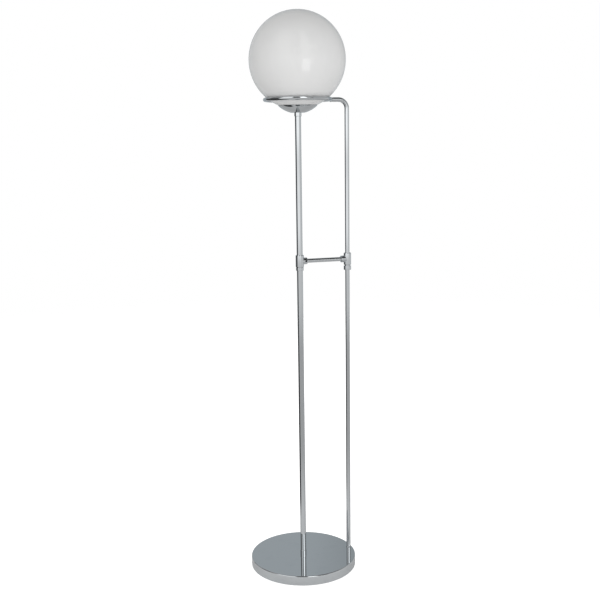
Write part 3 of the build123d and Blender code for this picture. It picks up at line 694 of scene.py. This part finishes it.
print("a turned part has", TUBE_STEPS, "or", DISC_STEPS, "steps")

# %% [markdown]
# A polisher's wheel softens every edge that it passes over, and the thin bright line along such an edge is
# what makes metal look like metal. The Bevel operator rounds one circle of the spun shape at a time,
# because not all edges were polished alike. A Bevel modifier would round them all the same.

# %% Breaking its edges
EDGE_SEGMENTS = 3


def circle_edges(shape, radius, height):
    """The edges of a spun shape that lie on one of its circles."""

    def on_circle(vert):
        reach = math.hypot(vert.co.x, vert.co.y)
        return abs(reach - radius) < NEAR and abs(vert.co.z - height) < NEAR

    return [edge for edge in shape.edges if all(on_circle(vert) for vert in edge.verts)]


def break_edge(shape, radius, height, size, segments=EDGE_SEGMENTS):
    """Rounds one of a spun shape's circular edges."""
    bmesh.ops.bevel(
        shape,
        geom=circle_edges(shape, radius, height),
        offset=size,
        offset_type="OFFSET",
        segments=segments,
        profile=0.5,
        affect="EDGES",
        material=-1,
    )


def turned(corners, broken=(), steps=TUBE_STEPS):
    """A solid turned from its closed outline; each broken edge is (radius, height, size)."""
    shape = drawn(*corners)
    close_outline(shape)
    spin_round(shape, steps)
    for radius, height, size in broken:
        break_edge(shape, radius, height, size)
    return shape


print("a broken edge has", EDGE_SEGMENTS, "segments unless it shows more")

# %% [markdown]
# ## From a shape to a piece of the lamp
# A shape becomes an object at the origin, unturned, with its size brought to metres. Its faces are shaded
# smooth and its hard edges are marked sharp, because smooth shading alone would smear the light round
# them. Weighted normals then keep a wide flat face flat right up to its rounded edge.

# %% Making it an object
SHARP_ANGLE = math.radians(32)


def add_object(name, shape, slot):
    """Makes an object from a shape in mm, smooth but for its sharp edges."""
    bmesh.ops.scale(shape, vec=(MM, MM, MM), verts=shape.verts[:])
    for face in shape.faces:
        face.smooth = True
    for edge in shape.edges:
        edge.smooth = len(edge.link_faces) == 2 and edge.calc_face_angle() < SHARP_ANGLE
    mesh = bpy.data.meshes.new(name)
    shape.to_mesh(mesh)
    shape.free()
    mesh.materials.append(finishes[slot])
    piece = bpy.data.objects.new(name, mesh)
    bpy.context.scene.collection.objects.link(piece)
    return piece


def even_normals(piece):
    """Lets the large faces lead the shading, so a rounded edge doesn't tint the flat beside it."""
    modifier = piece.modifiers.new("even_normals", "WEIGHTED_NORMAL")
    modifier.keep_sharp = True


print("edges over", round(math.degrees(SHARP_ANGLE)), "degrees stay sharp")

# %% [markdown]
# A piece that takes a CAD part's place moves with the same body and has the same slot. It could be laid
# over the part and judged by eye. The distance between their two boxes is a surer sign that it has the
# same size and stands in the same place, and it should be a few hundredths of a millimetre at most.

# %% Standing in for a CAD part
body_of = {
    node: body
    for body, members in frame["record"]["behaviour"]["bodies"].items()
    for node in members
}


def piece_gap(piece, node):
    """The largest distance in mm between the piece's box and the CAD part's."""
    spots = [vert.co for vert in piece.data.vertices]
    low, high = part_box(node)
    gaps = [abs(min(spot[i] for spot in spots) - low[i]) for i in range(3)]
    gaps += [abs(max(spot[i] for spot in spots) - high[i]) for i in range(3)]
    return round(max(gaps) / MM, 2)


def stand_in(name, shape, node):
    """Adds a piece that stands for a CAD part, with its body and its finish."""
    piece = add_object(name, shape, slot_of[node])
    even_normals(piece)
    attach(piece, body_of[node])
    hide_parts(node)
    print(name, "has", len(piece.data.polygons), "faces,", piece_gap(piece, node), "mm off the CAD part")
    return piece


# %% [markdown]
# ## The base cover
# The base is a steel disc pressed like a shallow lid and chromed. It is one turned outline. Its face is
# flat enough to mirror the two legs, and its round edge catches the light, so that edge gets more
# segments than the rest.

# %% Base cover
COVER_RADIUS = 145
COVER_TOP = 27
COVER_FOOT = 1
COVER_WALL = 1.5
COVER_EDGE = 2.5
COVER_EDGE_SEGMENTS = 8
COVER_FOOT_EDGE = 0.3
THREAD_HOLE = 5.05


def base_cover():
    inside = COVER_RADIUS - COVER_WALL
    ceiling = COVER_TOP - COVER_WALL
    corners = [
        (THREAD_HOLE, ceiling),
        (THREAD_HOLE, COVER_TOP),
        (COVER_RADIUS, COVER_TOP),
        (COVER_RADIUS, COVER_FOOT),
        (inside, COVER_FOOT),
        (inside, ceiling),
    ]
    shape = turned(corners, steps=DISC_STEPS)
    break_edge(shape, COVER_RADIUS, COVER_TOP, COVER_EDGE, COVER_EDGE_SEGMENTS)
    break_edge(shape, inside, ceiling, COVER_EDGE - COVER_WALL)
    break_edge(shape, COVER_RADIUS, COVER_FOOT, COVER_FOOT_EDGE)
    return shape


cover = add_object("polished_cover", base_cover(), "chrome")
print("cover has", len(cover.data.polygons), "faces before its holes")

# %% [markdown]
# The cover has two more holes, for the side leg's screw and for the gland in the back. They aren't on its
# own axis, so they can't be part of the outline. A Boolean with a cylinder cuts each, and its result is
# kept as the mesh.

# %% Holes in the cover
LEG_SPACING = 135
SCREW_HOLE = 2.55
SCREW_CUT = 10
GLAND_HOLE = 6.05
GLAND_HEIGHT = 14.5
GLAND_CUT = 20
CUTTER_STEPS = 64


def cut_hole(piece, radius, depth, place):
    """Cuts a round hole through a piece with a Boolean, and keeps the result."""
    shape = bmesh.new()
    bmesh.ops.create_cone(
        shape,
        cap_ends=True,
        segments=CUTTER_STEPS,
        radius1=radius * MM,
        radius2=radius * MM,
        depth=depth * MM,
        matrix=place,
    )
    mesh = bpy.data.meshes.new("cutter")
    shape.to_mesh(mesh)
    shape.free()
    cutter = bpy.data.objects.new("cutter", mesh)
    bpy.context.scene.collection.objects.link(cutter)
    modifier = piece.modifiers.new("hole", "BOOLEAN")
    modifier.operation = "DIFFERENCE"
    modifier.solver = "EXACT"
    modifier.object = cutter
    evaluated = piece.evaluated_get(bpy.context.evaluated_depsgraph_get())
    cut = bpy.data.meshes.new_from_object(evaluated)
    piece.modifiers.remove(modifier)
    piece.data = cut
    bpy.data.objects.remove(cutter)


at_screw = Matrix.Translation((LEG_SPACING * MM, 0, COVER_TOP * MM))
at_gland = Matrix.Translation((0, COVER_RADIUS * MM, GLAND_HEIGHT * MM))
to_back = Matrix.Rotation(math.pi / 2, 4, "X")
cut_hole(cover, SCREW_HOLE, SCREW_CUT, at_screw)
cut_hole(cover, GLAND_HOLE, GLAND_CUT, at_gland @ to_back)
even_normals(cover)
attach(cover, "stand")
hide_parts("base_cover")
cover_gap = piece_gap(cover, "base_cover")
print("cover has", len(cover.data.polygons), "faces,", cover_gap, "mm off the CAD part")

# %% [markdown]
# ## The legs
# Both legs are drawn steel tube, cut, beaded at the top of the lower half and chromed. A cylinder would
# do for the plain upper half, but an outline gives the bore and the bead as well.

# %% Main leg
MAIN_RADIUS = 8
MAIN_BORE = 6.5
MAIN_BEAD = 8.8
MAIN_LOWER_TOP = 831.5
BEAD_HEIGHT = 1.5
TUBE_SEAT = 856
CUP_BOTTOM = 1241.509
FERRULE_WEB = 2.5


def tube_outline(bore, radius, bottom, top):
    return [(bore, bottom), (radius, bottom), (radius, top), (bore, top)]


def beaded_tube(bore, radius, bead, top):
    """The lower half of a leg, with the bead that its union nut pulls on."""
    corners = [
        (bore, COVER_TOP),
        (radius, COVER_TOP),
        (radius, top - BEAD_HEIGHT),
        (bead, top - BEAD_HEIGHT),
        (bead, top),
        (bore, top),
    ]
    return turned(corners)


main_low = beaded_tube(MAIN_BORE, MAIN_RADIUS, MAIN_BEAD, MAIN_LOWER_TOP)
main_high = turned(tube_outline(MAIN_BORE, MAIN_RADIUS, TUBE_SEAT, CUP_BOTTOM - FERRULE_WEB))
stand_in("main_leg_low", main_low, "lower_main_tube")
stand_in("main_leg_high", main_high, "upper_main_tube")

# %% [markdown]
# The leg's foot stands in a collar on the base, and a ferrule at its top carries the cup. They could be
# steps in the leg's own outline. As turned rings of their own they keep the fine dark line where they
# meet the tube. Only the edges that show are broken: the collar's upper one and the ferrule's lower one.

# %% Foot collar and ferrule
MAIN_FIT = 8.05
COLLAR_RADIUS = 8.875
COLLAR_TOP = 38
FOOT_EDGE = 0.4
FERRULE_HEIGHT = 9.5
FERRULE_RADIUS = 9.375
FERRULE_EDGE = 0.8


def foot_ring(bore, radius, top):
    """The ring round a leg's foot, with its upper edge broken."""
    return turned(tube_outline(bore, radius, COVER_TOP, top), [(radius, top, FOOT_EDGE)])


def ferrule():
    foot = CUP_BOTTOM - FERRULE_HEIGHT
    web = CUP_BOTTOM - FERRULE_WEB
    corners = [
        (MAIN_FIT, foot),
        (FERRULE_RADIUS, foot),
        (FERRULE_RADIUS, CUP_BOTTOM),
        (THREAD_HOLE, CUP_BOTTOM),
        (THREAD_HOLE, web),
        (MAIN_FIT, web),
    ]
    return turned(corners, [(FERRULE_RADIUS, foot, FERRULE_EDGE)])


stand_in("foot_ring", foot_ring(MAIN_FIT, COLLAR_RADIUS, COLLAR_TOP), "foot_collar")
stand_in("cup_ferrule", ferrule(), "top_ferrule")

# %% [markdown]
# The side leg is the same kind of tube in a smaller size, with a thin flange for a collar, so the same
# functions draw both. A turned shape is drawn on the lamp's own axis, so these are moved to the side
# leg's axis afterwards.

# %% Side leg
SIDE_RADIUS = 6
SIDE_BORE = 4.5
SIDE_BEAD = 7.0
SIDE_LOWER_TOP = 827.1
FLANGE_BORE = 6.05
FLANGE_RADIUS = 7.2
FLANGE_TOP = 28.5


def moved(shape, x, y, z):
    bmesh.ops.translate(shape, vec=(x, y, z), verts=shape.verts[:])
    return shape


side_low = moved(beaded_tube(SIDE_BORE, SIDE_RADIUS, SIDE_BEAD, SIDE_LOWER_TOP), LEG_SPACING, 0, 0)
flange = moved(foot_ring(FLANGE_BORE, FLANGE_RADIUS, FLANGE_TOP), LEG_SPACING, 0, 0)
stand_in("side_leg_low", side_low, "lower_side_rod")
stand_in("side_foot_ring", flange, "side_foot_flange")

# %% [markdown]
# The crossbar is a short plain tube, pressed into both tees. It could be drawn lying down, but then its
# outline would need a spin of its own about X. It is turned upright like the rest, with its height for
# its place along the bar, and tipped over.

# %% Crossbar
CROSSBAR_RADIUS = 5.5
CROSSBAR_BORE = 4
CROSSBAR_START = 10
CROSSBAR_END = 126
CROSSBAR_HEIGHT = 853.5


def tipped(shape):
    """Turns a shape so that what pointed up points along X."""
    quarter = Matrix.Rotation(math.pi / 2, 3, "Y")
    bmesh.ops.rotate(shape, cent=(0, 0, 0), matrix=quarter, verts=shape.verts[:])
    return shape


bar = tipped(turned(tube_outline(CROSSBAR_BORE, CROSSBAR_RADIUS, CROSSBAR_START, CROSSBAR_END)))
stand_in("cross_tube", moved(bar, 0, 0, CROSSBAR_HEIGHT), "crossbar")

# %% [markdown]
# ## Union nuts and tees
# Each leg comes apart at its tee, where a union nut hooks under the lower tube's bead. The nuts are smooth
# and turned, so one outline with a shoulder inside gives both. They fit their tubes and beads with a
# little play, and it is the same for the two.

# %% Union nuts
NUT_EDGE = 0.6
NUT_FLOOR = 1.5
TUBE_PLAY = 0.3
BEAD_PLAY = 0.25
MAIN_NUT_RADIUS = 10.2
MAIN_NUT_TOP = 836.2
SIDE_NUT_RADIUS = 10
SIDE_NUT_TOP = 834.6


def union_nut(tube, bead, lower_top, radius, top):
    """A nut with a floor under the bead of a leg's lower tube."""
    hole = tube + TUBE_PLAY
    bore = bead + BEAD_PLAY
    shoulder = lower_top - BEAD_HEIGHT - TUBE_PLAY
    bottom = shoulder - NUT_FLOOR
    corners = [
        (hole, bottom),
        (radius, bottom),
        (radius, top),
        (bore, top),
        (bore, shoulder),
        (hole, shoulder),
    ]
    return turned(corners, [(radius, bottom, NUT_EDGE), (radius, top, NUT_EDGE)])


main_nut = union_nut(MAIN_RADIUS, MAIN_BEAD, MAIN_LOWER_TOP, MAIN_NUT_RADIUS, MAIN_NUT_TOP)
side_nut = union_nut(SIDE_RADIUS, SIDE_BEAD, SIDE_LOWER_TOP, SIDE_NUT_RADIUS, SIDE_NUT_TOP)
stand_in("main_nut", main_nut, "main_union_nut")
stand_in("side_nut", moved(side_nut, LEG_SPACING, 0, 0), "side_union_nut")

# %% [markdown]
# The tees are castings with a soft fillet where the branch leaves the barrel. A fillet like that is hard
# to bevel by hand. The CAD part has it exactly, so a merged copy of its surface is used, smoothed across
# everything but its hard edges.


# %% Tees
def merged_copy(node):
    """The CAD part's own surface in mm, with its triangles joined up."""
    shape = bmesh.new()
    shape.from_mesh(nodes[node].data)
    bmesh.ops.scale(shape, vec=(1 / MM, 1 / MM, 1 / MM), verts=shape.verts[:])
    bmesh.ops.remove_doubles(shape, verts=shape.verts[:], dist=NEAR)
    return shape


stand_in("main_tee_casting", merged_copy("main_tee"), "main_tee")
stand_in("side_tee_casting", merged_copy("side_tee"), "side_tee")

# %% [markdown]
# ## The arm and the ring
# The side leg's upper tube bends over at the top and is brazed to the ring. A bevelled curve would give
# such a tube, but without its wall. Here a circle is pushed along the path, once for the outside and once
# for the bore: extruded up, spun through a quarter turn at the bend, and extruded again.

# %% The skins of the arm
RING_HEIGHT = 1275.058
BEND_RADIUS = 23
BEND_STEPS = 40
BEND_CENTRE = LEG_SPACING - BEND_RADIUS
ARM_END = 88.5


def push(shape, edges, move):
    """Extrudes open edges by a move and returns the new ones."""
    made = bmesh.ops.extrude_edge_only(shape, edges=edges)["geom"]
    verts = [part for part in made if isinstance(part, bmesh.types.BMVert)]
    bmesh.ops.translate(shape, vec=move, verts=verts)
    return [part for part in made if isinstance(part, bmesh.types.BMEdge) and part.is_boundary]


def bent_tube(radius):
    """One skin of the arm, from the tee up and over to the ring, open at both ends."""
    shape = bmesh.new()
    place = Matrix.Translation((LEG_SPACING, 0, TUBE_SEAT))
    bmesh.ops.create_circle(shape, segments=TUBE_STEPS, radius=radius, matrix=place)
    top = push(shape, shape.edges[:], (0, 0, RING_HEIGHT - BEND_RADIUS - TUBE_SEAT))
    bend = bmesh.ops.spin(
        shape,
        geom=top + list({vert for edge in top for vert in edge.verts}),
        cent=(BEND_CENTRE, 0, RING_HEIGHT - BEND_RADIUS),
        axis=(0, 1, 0),
        angle=-math.pi / 2,
        steps=BEND_STEPS,
    )
    last = [part for part in bend["geom_last"] if isinstance(part, bmesh.types.BMEdge)]
    push(shape, last, (ARM_END - BEND_CENTRE, 0, 0))
    return shape


print("arm bends round", BEND_RADIUS, "mm in", BEND_STEPS, "steps")

# %% [markdown]
# The two skins are put in one mesh, and Bridge Loops closes each end with a flat rim. The wall could also
# come from Solidify. With two skins the bore is given as a size of its own.


# %% Arm
def arm():
    """The outer and inner skins, joined by a flat rim at each end."""
    shape = bent_tube(SIDE_RADIUS)
    inner = bent_tube(SIDE_BORE)
    spare = bpy.data.meshes.new("inner_skin")
    inner.to_mesh(spare)
    inner.free()
    shape.from_mesh(spare)
    bpy.data.meshes.remove(spare)
    rims = [edge for edge in shape.edges if edge.is_boundary]
    for foot in (True, False):
        ends = [edge for edge in rims if (edge.verts[0].co.x > BEND_CENTRE) == foot]
        bmesh.ops.bridge_loops(shape, edges=ends)
    bmesh.ops.recalc_face_normals(shape, faces=shape.faces[:])
    return shape


stand_in("bent_arm", arm(), "upper_side_rod")

# %% [markdown]
# The ring is a round bar bent to a hoop. Blender has a torus ready made, but not among the bmesh
# operators, so one circle is stood on edge and spun about the lamp's axis.

# %% Ring
RING_RADIUS = 85
RING_BAR = 5
RING_BAR_STEPS = 64


def hoop(radius, bar_radius, height, bar_steps, steps):
    """A round bar bent to a full circle about the lamp's axis."""
    shape = bmesh.new()
    place = Matrix.Translation((radius, 0, height)) @ Matrix.Rotation(math.pi / 2, 4, "X")
    bmesh.ops.create_circle(shape, segments=bar_steps, radius=bar_radius, matrix=place)
    spin_round(shape, steps)
    return shape


ring = hoop(RING_RADIUS, RING_BAR, RING_HEIGHT, RING_BAR_STEPS, DISC_STEPS)
stand_in("round_bar_ring", ring, "globe_ring")

# %% [markdown]
# The arm's end is coped to the bar and brazed. The joint shows as a thin line of filler round the tube, a
# little duller than the polish beside it. It could be a bump in the chrome, but the line has to catch the
# light on its own, so it is a small hoop of plated steel.

# %% Braze line
BRAZE_RADIUS = 0.55
BRAZE_X = 89.6
BRAZE_STEPS = 12

bead = tipped(hoop(SIDE_RADIUS, BRAZE_RADIUS, 0, BRAZE_STEPS, TUBE_STEPS))
braze = add_object("braze_line", moved(bead, BRAZE_X, 0, RING_HEIGHT), "plated_steel")
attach(braze, "stand")
print("braze line", len(braze.data.polygons), "faces")

# %% [markdown]
# ## The cup
# The cup under the globe is spun from sheet: a small flat floor and a wall that is part of a sphere. One
# skin and a Solidify modifier could give it. Here the sheet's whole outline is drawn, so that the inner
# floor and the rim end where the CAD part's do. Each curve is made by turning a single point.

# %% Cup
CUP_FLOOR = 18
CUP_CURVE_CENTRE = 1313.764
CUP_RIM = 51
CUP_WALL = 1.2
CUP_CURVE_STEPS = 32
CUP_CURVE_RADIUS = math.hypot(CUP_FLOOR, CUP_CURVE_CENTRE - CUP_BOTTOM)


def cup():
    floor_angle = math.degrees(math.asin(CUP_FLOOR / CUP_CURVE_RADIUS))
    rim_angle = math.degrees(math.asin(CUP_RIM / CUP_CURVE_RADIUS))
    inner_radius = CUP_CURVE_RADIUS - CUP_WALL
    inner_floor = CUP_BOTTOM + CUP_WALL
    rim_height = CUP_CURVE_CENTRE - inner_radius * math.cos(math.radians(rim_angle))
    inner_floor_angle = math.degrees(math.acos((CUP_CURVE_CENTRE - inner_floor) / inner_radius))
    moves = [
        (THREAD_HOLE, inner_floor),
        (THREAD_HOLE, CUP_BOTTOM),
        (CUP_FLOOR, CUP_BOTTOM),
        (CUP_CURVE_CENTRE, floor_angle - rim_angle, CUP_CURVE_STEPS),
        (inner_radius * math.sin(math.radians(rim_angle)), rim_height),
        (CUP_CURVE_CENTRE, rim_angle - inner_floor_angle, CUP_CURVE_STEPS),
    ]
    return turned(moves, steps=DISC_STEPS)


stand_in("spun_cup", cup(), "gallery_cup")

# %% [markdown]
# ## The globe
# The globe is blown opal glass: a near-perfect sphere with a short straight neck that stands in the cup. A
# ready-made sphere would have to be cut open and given its wall and its neck. The outline is simpler: two
# arcs, the outside and the inside, joined by the neck's ground lip, and spun like the rest.

# %% Globe
GLOBE_CENTRE = 1375
GLOBE_RADIUS = 125
GLOBE_WALL = 2.5
NECK_RADIUS = 38
NECK_BORE = 35
NECK_LIP = 1251.926
GLOBE_CURVE_STEPS = 80
LIP_EDGE = 0.8


def globe():
    inside = GLOBE_RADIUS - GLOBE_WALL
    throat_angle = 180 - math.degrees(math.asin(NECK_BORE / inside))
    shoulder_angle = 180 - math.degrees(math.asin(NECK_RADIUS / GLOBE_RADIUS))
    shoulder = GLOBE_CENTRE - math.sqrt(GLOBE_RADIUS**2 - NECK_RADIUS**2)
    shape = drawn(
        (0, GLOBE_CENTRE + inside),
        (GLOBE_CENTRE, throat_angle, GLOBE_CURVE_STEPS),
        (NECK_BORE, NECK_LIP),
        (NECK_RADIUS, NECK_LIP),
        (NECK_RADIUS, shoulder),
        (GLOBE_CENTRE, -shoulder_angle, GLOBE_CURVE_STEPS),
    )
    spin_round(shape, DISC_STEPS)
    break_edge(shape, NECK_RADIUS, NECK_LIP, LIP_EDGE)
    break_edge(shape, NECK_BORE, NECK_LIP, LIP_EDGE)
    break_edge(shape, NECK_RADIUS, shoulder, LIP_EDGE)
    return shape


opal = stand_in("opal_globe", globe(), "globe")

# %% [markdown]
# The window's reflection belongs on the glass. On the chrome it would be a hot streak, so the light is
# linked to the globe alone.

# %% Link the window to the globe
glass_only = bpy.data.collections.new("glass_only")
glass_only.objects.link(opal)
window.light_linking.receiver_collection = glass_only

# %% [markdown]
# ## Sizes
# The pieces have to keep the size of the parts that they stand for. Each stand-in printed the distance
# between its box and the CAD part's box when it was added.

# %% Sizes
print("each stand-in's gap to its CAD part is printed above")
